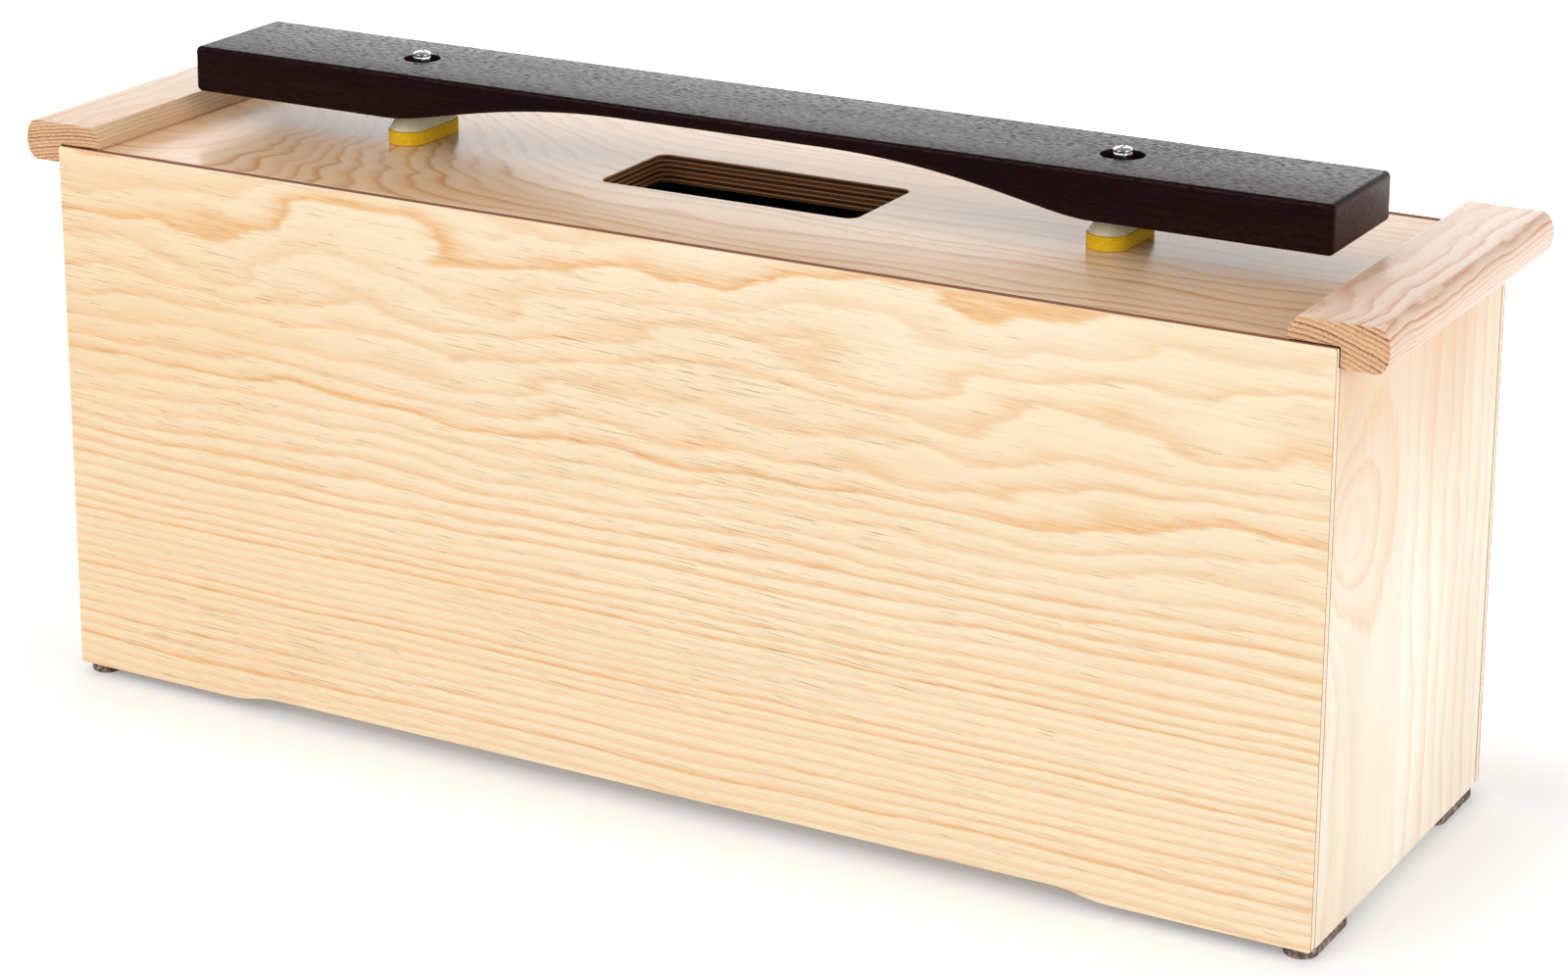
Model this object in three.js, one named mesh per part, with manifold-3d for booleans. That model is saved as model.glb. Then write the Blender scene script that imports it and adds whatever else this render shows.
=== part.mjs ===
// Resonator bar: one deep tone bar of dark hardwood, resting on two posts above its own pine resonator box.
// Millimetres. The origin is on the floor under the middle of the box.
// +X runs along the bar, -Y is the front and +Z is up.
import * as THREE from "three";
import { mergeVertices } from "three/addons/utils/BufferGeometryUtils.js";
import Module from "manifold-3d";

const wasm = await Module();
wasm.setup();

// Resonator box
const boxLength = 640;
const boxDepth = 203.6;
const panelHeight = 260.5;
const panelThickness = 5;
const panelCorner = 1.2;
const endThickness = 15.5;
const topThickness = 13.5;
const bottomThickness = 6;
const bottomRecess = 8;
const battenSize = 15;
const edgeEase = 0.5;
const boardEase = 0.25;

// Shallow relief along the lower edge of the front and rear panels
const reliefDepth = 3.3;
const reliefFlatLength = 400;
const reliefRampLength = 32;

// Sound hole in the top board
const soundHoleLength = 132;
const soundHoleWidth = 57;
const soundHoleCorner = 5.5;

// Handle rails, rabbeted over the top corner of each end
const handleInnerWidth = 22.2;
const handleOuterWidth = 21.1;
const handleRise = 10.5;
const handleDrop = 8.8;
const handleBevelRun = 4;
const handleBevelDrop = 5.8;
const handleNose = 5.6;
const handleEndRecess = 2.7;
const handleEase = 0.4;

// Dowels between the handle rails and the end panels
const dowelDiameter = 6;
const dowelFromFace = 31.8;
const dowelInPanel = 20;
const dowelInHandle = 7.4;
const dowelChamfer = 0.8;
const dowelEndRoom = 0.6;
const dowelGap = 0.15;
const dowelsPerHandle = 3;

// Felt feet under the ends of the box
const footThickness = 5.3;
const footWidth = 15.2;
const footLength = 46;
const footFromEnd = 0.3;
const footFromFace = 2.4;
const footEase = 1.3;

// Tone bar
const barLength = 581;
const barWidth = 65;
const barThickness = 22.3;
const barHeight = 15.8;
const barEdgeRound = 1.6;
const barEndRound = 2;
const archDepth = 15.6;
const archLength = 360;
const archFlatLength = 100;
const archRootPull = 22;
const archFlatPull = 70;
const barHoleWidth = 17.4;
const barSlotLength = 19.8;

// Posts that hold the bar in place
const postSpacing = 362;
const spacerSides = 6;
const spacerAcrossFlats = 8;
const spacerHeight = 39.5;
const spacerChamfer = 0.5;
const screwShank = 4;
const screwCore = 3;
const screwLength = 70;
const screwPointLength = 6;
const threadPitch = 2.8;
const threadFlank = 0.7;
const headDiameter = 8.5;
const headRimHeight = 1.3;
const headCrownHeight = 1;
const recessSpan = 4.8;
const recessFloorSpan = 1.4;
const recessSlot = 1.2;
const recessDepth = 1.5;

// Felt pads and soft bar rests around the posts
const padLength = 44;
const padWidth = 19.6;
const padThickness = 6.6;
const padEase = 0.4;
const restLength = 42.4;
const restWidth = 18.2;

// Blocks under the top board that the screws bite into
const blockLength = 56;
const blockWidth = 70;
const blockHeight = 22;
const blockCorner = 2;

// Joints: a glue line between glued or seated faces, and a running clearance round hardware
const glueLine = 0.1;
const clearance = 0.3;

// Facets
const roundSides = 28;
const boreSides = 24;
const slimSides = 16;
const cornerSteps = 3;
const crownSteps = 4;
const capSteps = 10;
const curveSteps = 8;
const archSteps = 14;
const mergeDistance = 1e-4;

// Places that follow from the sizes
const boxBase = footThickness;
const boxTop = boxBase + panelHeight;
const endFace = boxLength / 2;
const innerHalfLength = endFace - endThickness - glueLine;
const innerDepth = boxDepth - 2 * (panelThickness + glueLine);
const postOffset = postSpacing / 2;
const barUnderside = boxTop + barHeight;
const spacerAcrossCorners = spacerAcrossFlats / Math.cos(Math.PI / spacerSides);
const postBore = spacerAcrossCorners + 2 * clearance;
const screwHole = screwShank + 2 * clearance;

const finish = (color, roughness, metalness = 0) =>
  new THREE.MeshStandardMaterial({ color, roughness, metalness });

const finishes = {
  pinePly: finish(0xedd3a8, 0.45),
  pineEnd: finish(0xf1dcb8, 0.5),
  handlePine: finish(0xe8c9a3, 0.45),
  stainedPly: finish(0xd8b98c, 0.4),
  innerWood: finish(0xcdb082, 0.7),
  dowelWood: finish(0xd7b78a, 0.6),
  toneWood: finish(0x2a1a17, 0.35),
  chrome: finish(0xd9dcde, 0.12, 1),
  padFelt: finish(0xe6b91e, 0.95),
  restRubber: finish(0xe6e0cc, 0.55),
  footFelt: finish(0x6d625c, 0.98),
};

const part = new THREE.Group();

// Adds one named piece at a place, with an optional turn about the vertical.
function addPiece(name, geometry, material, place = [0, 0, 0], turn = 0) {
  const mesh = new THREE.Mesh(geometry, material);
  mesh.name = name;
  mesh.position.set(...place);
  mesh.rotation.z = turn;
  part.add(mesh);
  return mesh;
}

// The closed solid of a geometry, ready to be joined or cut.
function solidOf(geometry) {
  const bare = geometry.clone();
  bare.deleteAttribute("normal");
  bare.deleteAttribute("uv");
  const merged = mergeVertices(bare, mergeDistance);
  const vertProperties = Float32Array.from(merged.attributes.position.array);
  const triVerts = Uint32Array.from(merged.index.array);
  return new wasm.Manifold(new wasm.Mesh({ numProp: 3, vertProperties, triVerts }));
}

// The geometry of a finished solid.
function geometryOf(solid) {
  const { vertProperties, triVerts } = solid.getMesh();
  const geometry = new THREE.BufferGeometry();
  geometry.setAttribute("position", new THREE.Float32BufferAttribute(vertProperties, 3));
  geometry.setIndex(Array.from(triVerts));
  geometry.computeVertexNormals();
  return geometry;
}

function cut(geometry, ...tools) {
  return geometryOf(tools.reduce((solid, tool) => solid.subtract(solidOf(tool)), solidOf(geometry)));
}

function join(geometry, ...others) {
  return geometryOf(others.reduce((solid, other) => solid.add(solidOf(other)), solidOf(geometry)));
}

// A slab cut to an outline in the XY plane, centred on z = 0, its sharp edges eased by a bevel.
function slab(outline, thickness, ease, easeSteps = 1) {
  const geometry = new THREE.ExtrudeGeometry(outline, {
    depth: thickness - 2 * ease,
    bevelEnabled: true,
    bevelThickness: ease,
    bevelSize: ease,
    bevelOffset: -ease,
    bevelSegments: easeSteps,
  });
  return geometry.translate(0, 0, ease - thickness / 2);
}

// Stands a slab up so that its outline lies in the XZ plane and its thickness runs along Y.
const facingFront = (geometry) => geometry.rotateX(Math.PI / 2);

// Stands a slab up so that its outline's x runs along Y and its thickness along X.
const facingEnd = (geometry) => geometry.rotateX(Math.PI / 2).rotateZ(Math.PI / 2);

// A cylinder standing on z = 0.
function standingCylinder(diameter, height, sides = boreSides) {
  const geometry = new THREE.CylinderGeometry(diameter / 2, diameter / 2, height, sides);
  return geometry.rotateX(Math.PI / 2).translate(0, 0, height / 2);
}

// A body turned about +Z from a profile of radius and height points that starts and ends on the axis.
const turned = (points, sides = roundSides) =>
  new THREE.LatheGeometry(points.map(([radius, height]) => new THREE.Vector2(radius, height)), sides)
    .rotateX(Math.PI / 2);

// Points along part of an ellipse, its angles in quarter turns.
const arcPoints = (x, y, radiusX, radiusY, from, to, steps) =>
  new THREE.EllipseCurve(x, y, radiusX, radiusY, from * (Math.PI / 2), to * (Math.PI / 2)).getPoints(steps);

// Points along a cubic curve between two flat stretches, each end leaving level for its pull.
const easedRamp = (x0, y0, pull0, x1, y1, pull1, steps) =>
  new THREE.CubicBezierCurve(
    new THREE.Vector2(x0, y0),
    new THREE.Vector2(x0 + pull0, y0),
    new THREE.Vector2(x1 - pull1, y1),
    new THREE.Vector2(x1, y1),
  ).getPoints(steps);

// The corners of a rectangle from its left and bottom to its right and top, each rounded, anticlockwise
// from the bottom right. The first and last points meet along the bottom edge.
const roundCorners = (left, bottom, right, top, corner) => [
  ...arcPoints(right - corner, bottom + corner, corner, corner, 3, 4, cornerSteps),
  ...arcPoints(right - corner, top - corner, corner, corner, 0, 1, cornerSteps),
  ...arcPoints(left + corner, top - corner, corner, corner, 1, 2, cornerSteps),
  ...arcPoints(left + corner, bottom + corner, corner, corner, 2, 3, cornerSteps),
];

const roundedRectangle = (length, width, corner) =>
  roundCorners(-length / 2, -width / 2, length / 2, width / 2, corner);

// A stadium with its long axis on Y.
function stadium(width, length) {
  const radius = width / 2;
  const reach = length / 2 - radius;
  return [
    ...arcPoints(0, reach, radius, radius, 0, 2, capSteps),
    ...arcPoints(0, -reach, radius, radius, 2, 4, capSteps),
  ];
}

// The hole that a round bore makes in a slab.
const roundHole = (x, y, diameter, sides = boreSides) =>
  new THREE.Path(arcPoints(x, y, diameter / 2, diameter / 2, 0, 4, sides).slice(1));

// Front and rear panels: full length, with a shallow relief along the lower edge.
function facePanel() {
  const flat = reliefFlatLength / 2;
  const foot = flat + reliefRampLength;
  const pull = reliefRampLength / 2;
  const outline = [
    ...easedRamp(-foot, 0, pull, -flat, reliefDepth, pull, curveSteps),
    ...easedRamp(flat, reliefDepth, pull, foot, 0, pull, curveSteps),
    ...roundCorners(-endFace, 0, endFace, panelHeight, panelCorner),
  ];
  return facingFront(slab(new THREE.Shape(outline), panelThickness, edgeEase));
}

const facePanelY = (boxDepth - panelThickness) / 2;
addPiece("front_panel", facePanel(), finishes.pinePly, [0, -facePanelY, boxBase]);
addPiece("rear_panel", facePanel(), finishes.pinePly, [0, facePanelY, boxBase]);

// End panels: thick boards between the face panels, drilled from above for the handle dowels.
const middleDowel = (dowelsPerHandle - 1) / 2;
const dowelSpacing = (boxDepth / 2 - dowelFromFace) / middleDowel;
const dowelOffsets = Array.from({ length: dowelsPerHandle }, (_, i) => (i - middleDowel) * dowelSpacing);
const dowelBore = dowelDiameter + 2 * dowelGap;

function endPanel() {
  const outline = new THREE.Shape(roundedRectangle(innerDepth, panelHeight, panelCorner));
  const boreDepth = dowelInPanel + dowelEndRoom;
  const boreFloor = panelHeight / 2 - boreDepth;
  const bores = dowelOffsets.map((y) =>
    standingCylinder(dowelBore, boreDepth + clearance, slimSides).translate(0, y, boreFloor));
  return cut(facingEnd(slab(outline, endThickness, edgeEase)), ...bores);
}

const endPanelX = endFace - endThickness / 2;
addPiece("left_end_panel", endPanel(), finishes.pineEnd, [-endPanelX, 0, boxBase + panelHeight / 2]);
addPiece("right_end_panel", endPanel(), finishes.pineEnd, [endPanelX, 0, boxBase + panelHeight / 2]);

// Top board, let in between the four walls, with the sound hole and the two screw holes.
function topBoard() {
  const outline = new THREE.Shape(roundedRectangle(2 * innerHalfLength, innerDepth, edgeEase));
  outline.holes.push(new THREE.Path(roundedRectangle(soundHoleLength, soundHoleWidth, soundHoleCorner)));
  outline.holes.push(roundHole(-postOffset, 0, screwHole, slimSides));
  outline.holes.push(roundHole(postOffset, 0, screwHole, slimSides));
  return slab(outline, topThickness, boardEase);
}

addPiece("top_board", topBoard(), finishes.stainedPly, [0, 0, boxTop - topThickness / 2]);

// Bottom board, set up inside the walls, under a ring of glued battens.
const bottomUnderside = boxBase + bottomRecess;
const battenBase = bottomUnderside + bottomThickness + glueLine;

addPiece(
  "bottom_board",
  new THREE.BoxGeometry(2 * innerHalfLength, innerDepth, bottomThickness),
  finishes.pinePly,
  [0, 0, bottomUnderside + bottomThickness / 2],
);

const longBattenY = (innerDepth - battenSize) / 2 - glueLine;
const shortBattenX = innerHalfLength - battenSize / 2 - glueLine;
const shortBattenLength = 2 * (longBattenY - battenSize / 2 - glueLine);
const battenZ = battenBase + battenSize / 2;
for (const [name, side] of [["front", -1], ["rear", 1]]) {
  const batten = new THREE.BoxGeometry(2 * (innerHalfLength - glueLine), battenSize, battenSize);
  addPiece(`${name}_batten`, batten, finishes.innerWood, [0, side * longBattenY, battenZ]);
}
for (const [name, side] of [["left", -1], ["right", 1]]) {
  const batten = new THREE.BoxGeometry(battenSize, shortBattenLength, battenSize);
  addPiece(`${name}_batten`, batten, finishes.innerWood, [side * shortBattenX, 0, battenZ]);
}

// Handle rail in section: x = 0 is the end face of the box and y = 0 its top.
// The notch fits over the corner, the outer edge is a half-ellipse nose and the inner top edge is bevelled.
function handleRail() {
  const noseStart = handleOuterWidth - handleNose;
  const noseMiddle = (handleRise - handleDrop) / 2;
  const noseHalf = (handleRise + handleDrop) / 2;
  const outline = [
    new THREE.Vector2(-handleInnerWidth, glueLine),
    new THREE.Vector2(glueLine, glueLine),
    new THREE.Vector2(glueLine, -handleDrop),
    ...arcPoints(noseStart, noseMiddle, handleNose, noseHalf, -1, 1, capSteps),
    new THREE.Vector2(handleBevelRun - handleInnerWidth, handleRise),
    new THREE.Vector2(-handleInnerWidth, handleRise - handleBevelDrop),
  ];
  const railLength = boxDepth - 2 * handleEndRecess;
  const boreHeight = dowelInHandle + dowelEndRoom + clearance;
  const bores = dowelOffsets.map((y) =>
    standingCylinder(dowelBore, boreHeight, slimSides).translate(-endThickness / 2, y, -clearance));
  return cut(facingFront(slab(new THREE.Shape(outline), railLength, handleEase)), ...bores);
}

addPiece("left_handle", handleRail(), finishes.handlePine, [-endFace, 0, boxTop], Math.PI);
addPiece("right_handle", handleRail(), finishes.handlePine, [endFace, 0, boxTop]);

// Dowels with chamfered ends, upright through the joint between handle and end panel.
const dowelLength = dowelInPanel + dowelInHandle;
const dowelRadius = dowelDiameter / 2;
const dowelProfile = [
  [0, 0],
  [dowelRadius - dowelChamfer, 0],
  [dowelRadius, dowelChamfer],
  [dowelRadius, dowelLength - dowelChamfer],
  [dowelRadius - dowelChamfer, dowelLength],
  [0, dowelLength],
];
for (const [sideName, side] of [["left", -1], ["right", 1]]) {
  dowelOffsets.forEach((y, i) => {
    const place = [side * endPanelX, y, boxTop - dowelInPanel];
    addPiece(`${sideName}_dowel_${i + 1}`, turned(dowelProfile, slimSides), finishes.dowelWood, place);
  });
}

// Felt feet, glued under the four corners and as wide as the end panels are thick.
const footX = endFace - footFromEnd - footWidth / 2;
const footY = boxDepth / 2 - footFromFace - footLength / 2;
for (const [sideName, side] of [["left", -1], ["right", 1]]) {
  for (const [rowName, row] of [["front", -1], ["rear", 1]]) {
    const foot = slab(new THREE.Shape(stadium(footWidth, footLength)), footThickness - glueLine, footEase, 2);
    const place = [side * footX, row * footY, (footThickness - glueLine) / 2];
    addPiece(`${rowName}_${sideName}_foot`, foot, finishes.footFelt, place);
  }
}

// Tone bar: flat on top, its underside hollowed to a thin middle. The hole over the left post is round,
// and the one over the right post is a slot along the bar.
function toneBar() {
  const end = barLength / 2;
  const root = archLength / 2;
  const flat = archFlatLength / 2;
  const outline = [
    ...easedRamp(-root, 0, archRootPull, -flat, archDepth, archFlatPull, archSteps),
    ...easedRamp(flat, archDepth, archFlatPull, root, 0, archRootPull, archSteps),
    ...roundCorners(-end, 0, end, barThickness, barEndRound),
  ];
  const blank = facingFront(slab(new THREE.Shape(outline), barWidth, barEdgeRound, 2));
  const holeDepth = barThickness + 2 * clearance;
  const round = standingCylinder(barHoleWidth, holeDepth, roundSides).translate(-postOffset, 0, -clearance);
  const slotOutline = new THREE.Shape(stadium(barHoleWidth, barSlotLength));
  const slot = new THREE.ExtrudeGeometry(slotOutline, { depth: holeDepth, bevelEnabled: false });
  return cut(blank, round, slot.rotateZ(Math.PI / 2).translate(postOffset, 0, -clearance));
}

addPiece("tone_bar", toneBar(), finishes.toneWood, [0, 0, barUnderside]);

// Felt pad lying on the top board round a post.
function feltPad() {
  const outline = new THREE.Shape(stadium(padWidth, padLength));
  outline.holes.push(roundHole(0, 0, postBore));
  return slab(outline, padThickness, padEase);
}

// Bar rest on the pad: a loaf with a stadium foot, whose sides close in as a parabola to a ridge along Y.
const restHeight = barHeight - clearance - padThickness - 2 * glueLine;
const restSteps = Array.from({ length: curveSteps + 1 }, (_, i) => {
  const rise = i / curveSteps;
  return [(restWidth / 2) * Math.sqrt(1 - rise * rise), restHeight * rise * rise];
});

function barRest() {
  const halfWidth = restWidth / 2;
  const ridgeHalf = restLength / 2 - halfWidth;
  const section = new THREE.Shape();
  section.moveTo(-halfWidth, 0);
  restSteps.forEach(([half, height]) => section.lineTo(half, height));
  restSteps.slice(1, -1).reverse().forEach(([half, height]) => section.lineTo(-half, height));
  const middle = new THREE.ExtrudeGeometry(section, { depth: 2 * ridgeHalf, bevelEnabled: false });
  const dome = (y) => turned([[0, 0], ...restSteps]).translate(0, y, 0);
  const loaf = join(facingFront(middle.translate(0, 0, -ridgeHalf)), dome(-ridgeHalf), dome(ridgeHalf));
  return cut(loaf, standingCylinder(postBore, restHeight + 2 * clearance).translate(0, 0, -clearance));
}

// Hexagonal spacer with chamfered corners, bored for the screw.
function postSpacer() {
  const height = spacerHeight - 2 * glueLine;
  const corner = spacerAcrossCorners / 2;
  const hexagon = new THREE.CylinderGeometry(corner, corner, height, spacerSides);
  const flat = spacerAcrossFlats / 2;
  const envelope = turned([
    [0, 0],
    [flat, 0],
    [corner + clearance, spacerChamfer],
    [corner + clearance, height - spacerChamfer],
    [flat, height],
    [0, height],
  ]);
  const bar = solidOf(hexagon.rotateX(Math.PI / 2).translate(0, 0, height / 2));
  const bore = standingCylinder(screwHole, height + 2 * clearance, slimSides).translate(0, 0, -clearance);
  return geometryOf(bar.intersect(solidOf(envelope)).subtract(solidOf(bore)));
}

// One wing of the cross recess: a flat blade that narrows to its floor, sunk into a head top at some height.
function recessWing(headTop, turn) {
  const height = recessDepth + clearance;
  const topHalf = recessSpan / Math.SQRT2;
  const floorHalf = recessFloorSpan / Math.SQRT2;
  const blade = new THREE.CylinderGeometry(topHalf, floorHalf, height, 4).rotateY(Math.PI / 4);
  blade.scale(1, 1, recessSlot / recessSpan).rotateX(Math.PI / 2).rotateZ(turn);
  return blade.translate(0, 0, headTop + clearance - height / 2);
}

// Pan head screw with a ringed thread below the spacer. z = 0 is the seat under its head.
function postScrew() {
  const shank = screwShank / 2;
  const core = screwCore / 2;
  const head = headDiameter / 2;
  const headTop = headRimHeight + headCrownHeight;
  const threadTop = -(spacerHeight + clearance);
  const threadEnd = screwPointLength - screwLength;
  const turns = Math.floor((threadTop - threadEnd) / threadPitch);
  const profile = [[0, -screwLength], [core, threadEnd]];
  for (let turn = 0; turn < turns; turn += 1) {
    const crest = threadEnd + (turn + 0.5) * threadPitch;
    profile.push([core, crest - threadFlank], [shank, crest], [core, crest + threadFlank]);
  }
  profile.push([core, threadTop], [shank, threadTop + shank - core], [shank, 0]);
  profile.push([head, 0], [head, headRimHeight]);
  const crown = arcPoints(0, headRimHeight, head, headCrownHeight, 0, 1, crownSteps);
  crown.slice(1, -1).forEach(({ x, y }) => profile.push([x, y]));
  profile.push([0, headTop]);
  return cut(turned(profile, slimSides), join(recessWing(headTop, 0), recessWing(headTop, Math.PI / 2)));
}

// Block under the top board, with a through hole for the screw.
function postBlock() {
  const outline = new THREE.Shape(roundedRectangle(blockLength, blockWidth, blockCorner));
  outline.holes.push(roundHole(0, 0, screwHole, slimSides));
  return slab(outline, blockHeight, edgeEase);
}

for (const [name, side] of [["left", -1], ["right", 1]]) {
  const x = side * postOffset;
  const blockZ = boxTop - topThickness - glueLine - blockHeight / 2;
  addPiece(`${name}_post_block`, postBlock(), finishes.innerWood, [x, 0, blockZ]);
  addPiece(`${name}_felt_pad`, feltPad(), finishes.padFelt, [x, 0, boxTop + glueLine + padThickness / 2]);
  addPiece(`${name}_bar_rest`, barRest(), finishes.restRubber, [x, 0, boxTop + padThickness + 2 * glueLine]);
  addPiece(`${name}_post_spacer`, postSpacer(), finishes.chrome, [x, 0, boxTop + glueLine]);
  addPiece(`${name}_post_screw`, postScrew(), finishes.chrome, [x, 0, boxTop + spacerHeight]);
}

export default part;
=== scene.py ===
import math
import bmesh
import bpy
import numpy as np
from mathutils import Matrix, Vector


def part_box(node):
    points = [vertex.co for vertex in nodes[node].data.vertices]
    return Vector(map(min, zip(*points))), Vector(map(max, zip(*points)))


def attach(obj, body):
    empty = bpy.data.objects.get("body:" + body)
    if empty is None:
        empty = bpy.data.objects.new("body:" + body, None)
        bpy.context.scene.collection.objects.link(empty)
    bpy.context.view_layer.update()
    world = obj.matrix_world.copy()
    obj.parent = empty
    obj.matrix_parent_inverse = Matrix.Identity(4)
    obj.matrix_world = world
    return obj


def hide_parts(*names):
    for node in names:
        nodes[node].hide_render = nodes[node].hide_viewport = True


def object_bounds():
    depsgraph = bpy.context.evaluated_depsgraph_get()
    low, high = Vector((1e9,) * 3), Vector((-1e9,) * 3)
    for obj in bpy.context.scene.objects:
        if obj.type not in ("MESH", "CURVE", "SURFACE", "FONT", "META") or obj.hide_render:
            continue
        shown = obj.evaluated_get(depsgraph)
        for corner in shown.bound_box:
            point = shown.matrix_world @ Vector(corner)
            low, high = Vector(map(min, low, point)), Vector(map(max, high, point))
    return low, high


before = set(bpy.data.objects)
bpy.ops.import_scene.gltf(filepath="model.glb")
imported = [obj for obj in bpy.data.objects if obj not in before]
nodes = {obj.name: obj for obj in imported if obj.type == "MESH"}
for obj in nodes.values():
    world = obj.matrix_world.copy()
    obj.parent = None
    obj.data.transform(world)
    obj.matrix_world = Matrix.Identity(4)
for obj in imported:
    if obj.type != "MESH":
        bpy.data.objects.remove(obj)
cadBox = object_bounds()
scene = bpy.context.scene
mm = 0.001
quarter = math.pi / 2
print("frame loaded,", len(nodes), "nodes")


# Lowest and highest corner of a CAD node in its rest place, in millimetres.
def nodeBox(name):
    low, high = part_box(name)
    return np.array(low) / mm, np.array(high) / mm


# Camera of the studio picture: where it stands, how it turns, and how the frame is cropped.
cameraView = {
    "place": (0.84907, -1.50937, 0.73329),
    "yaw": 0.52987,
    "pitch": 0.27523,
    "roll": -0.00235,
    "lens": 90.695,
    "sensor": 36.0,
    "shift": (0.06089, -0.16352),
    "clip": (0.05, 40.0),
}


def addCamera():
    yaw, pitch, roll = cameraView["yaw"], cameraView["pitch"], cameraView["roll"]
    forward = np.array((-math.sin(yaw) * math.cos(pitch), math.cos(yaw) * math.cos(pitch), -math.sin(pitch)))
    level = np.array((math.cos(yaw), math.sin(yaw), 0.0))
    upright = np.cross(level, forward)
    right = level * math.cos(roll) + upright * math.sin(roll)
    up = upright * math.cos(roll) - level * math.sin(roll)
    lens = bpy.data.cameras.new("camera")
    lens.sensor_width = cameraView["sensor"]
    lens.lens = cameraView["lens"]
    lens.shift_x, lens.shift_y = cameraView["shift"]
    lens.clip_start, lens.clip_end = cameraView["clip"]
    camera = bpy.data.objects.new("camera", lens)
    turn = Matrix(np.column_stack((right, up, -forward)).tolist()).to_4x4()
    camera.matrix_world = Matrix.Translation(cameraView["place"]) @ turn
    scene.collection.objects.link(camera)
    scene.camera = camera


addCamera()


# A screen colour such as "#FCEBCB" as the linear colour that a shader takes.
def screenColour(code):
    part = np.array([int(code[i:i + 2], 16) / 255 for i in (1, 3, 5)])
    linear = np.where(part <= 0.04045, part / 12.92, ((part + 0.055) / 1.055) ** 2.4)
    return (*linear.tolist(), 1.0)


# Node helpers. A socket given as a value is linked, a screen colour is set as its linear colour, and
# anything else is set as it is.
def fill(tree, made, values):
    for key, value in values.items():
        if isinstance(value, bpy.types.NodeSocket):
            tree.links.new(value, made.inputs[key])
        else:
            made.inputs[key].default_value = screenColour(value) if isinstance(value, str) else value


def put(tree, kind, values=None, **settings):
    made = tree.nodes.new("ShaderNode" + kind)
    made.location = (220 * (len(tree.nodes) % 12), -260 * (len(tree.nodes) // 12))
    for key, value in settings.items():
        setattr(made, key, value)
    fill(tree, made, values or {})
    return made


def maths(tree, operation, *values):
    return put(tree, "Math", dict(enumerate(values)), operation=operation).outputs[0]


def vectorMaths(tree, operation, *values):
    return put(tree, "VectorMath", dict(enumerate(values)), operation=operation).outputs["Vector"]


# One number from vectors: a length, a distance or a dot product.
def measured(tree, operation, *vectors):
    return put(tree, "VectorMath", dict(enumerate(vectors)), operation=operation).outputs["Value"]


def scaled(tree, vector, factor):
    return put(tree, "VectorMath", {0: vector, "Scale": factor}, operation="SCALE").outputs["Vector"]


def axisOf(tree, vector, axis):
    return put(tree, "SeparateXYZ", {0: vector}).outputs[axis]


def noise(tree, vector, detail, roughness, scale=1.0):
    values = {"Vector": vector, "Scale": scale, "Detail": detail, "Roughness": roughness}
    return put(tree, "TexNoise", values).outputs[0]


# Noise of a vector that is stretched along each axis first.
def stretchedNoise(tree, vector, stretch, detail, roughness=0.5):
    return noise(tree, vectorMaths(tree, "MULTIPLY", vector, stretch), detail, roughness)


def between(tree, value, low, high, toLow=0.0, toHigh=1.0):
    values = {"Value": value, "From Min": low, "From Max": high, "To Min": toLow, "To Max": toHigh}
    return put(tree, "MapRange", values, interpolation_type="SMOOTHSTEP").outputs["Result"]


def mixed(tree, factor, first, second):
    return put(tree, "Mix", {0: factor, 6: first, 7: second}, data_type="RGBA").outputs[2]


def turnedFlat(tree, vector, angle):
    values = {"Vector": vector, "Angle": angle}
    return put(tree, "VectorRotate", values, rotation_type="Z_AXIS").outputs[0]


def addBump(tree, shader, height, strength, distance):
    bump = put(tree, "Bump", {"Height": height, "Strength": strength, "Distance": distance})
    fill(tree, shader, {"Normal": bump.outputs[0]})


def newGroup(name, inputs, outputs):
    group = bpy.data.node_groups.new(name, "ShaderNodeTree")
    for label, kind, value in inputs:
        socket = group.interface.new_socket(name=label, in_out="INPUT", socket_type="NodeSocket" + kind)
        if value is not None:
            socket.default_value = value
    for label in outputs:
        group.interface.new_socket(name=label, in_out="OUTPUT", socket_type="NodeSocketFloat")
    given = group.nodes.new("NodeGroupInput")
    wanted = group.nodes.new("NodeGroupOutput")
    return group, given.outputs, wanted


# A group in use: its input "Pith Depth", for one, takes what the look calls pithDepth.
def useGroup(tree, group, look, given):
    made = put(tree, "Group")
    made.node_tree = group
    for socket in made.inputs:
        key = socket.name[0].lower() + socket.name[1:].replace(" ", "")
        if key in look:
            socket.default_value = look[key]
    fill(tree, made, given)
    return made.outputs


def newMaterial(name):
    material = bpy.data.materials.new(name)
    material.use_nodes = True
    tree = material.node_tree
    place = put(tree, "TexCoord").outputs
    return material, tree, tree.nodes["Principled BSDF"], place


# What the growth rings of all woods share: how much less waves move them where they are dense, how their
# widths drift with the distance from the pith, how fibres fray their edges, and how single rings differ.
ringHabit = {
    "waveInDense": -1.2,
    "waveOverall": 0.8,
    "driftScale": 22.0,
    "frayStretch": (40.0, 760.0, 760.0),
    "frayRange": (0.3, 0.7),
    "frayStrength": (0.8, 1.2),
    "ringStrength": (0.45, 1.1),
}


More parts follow.
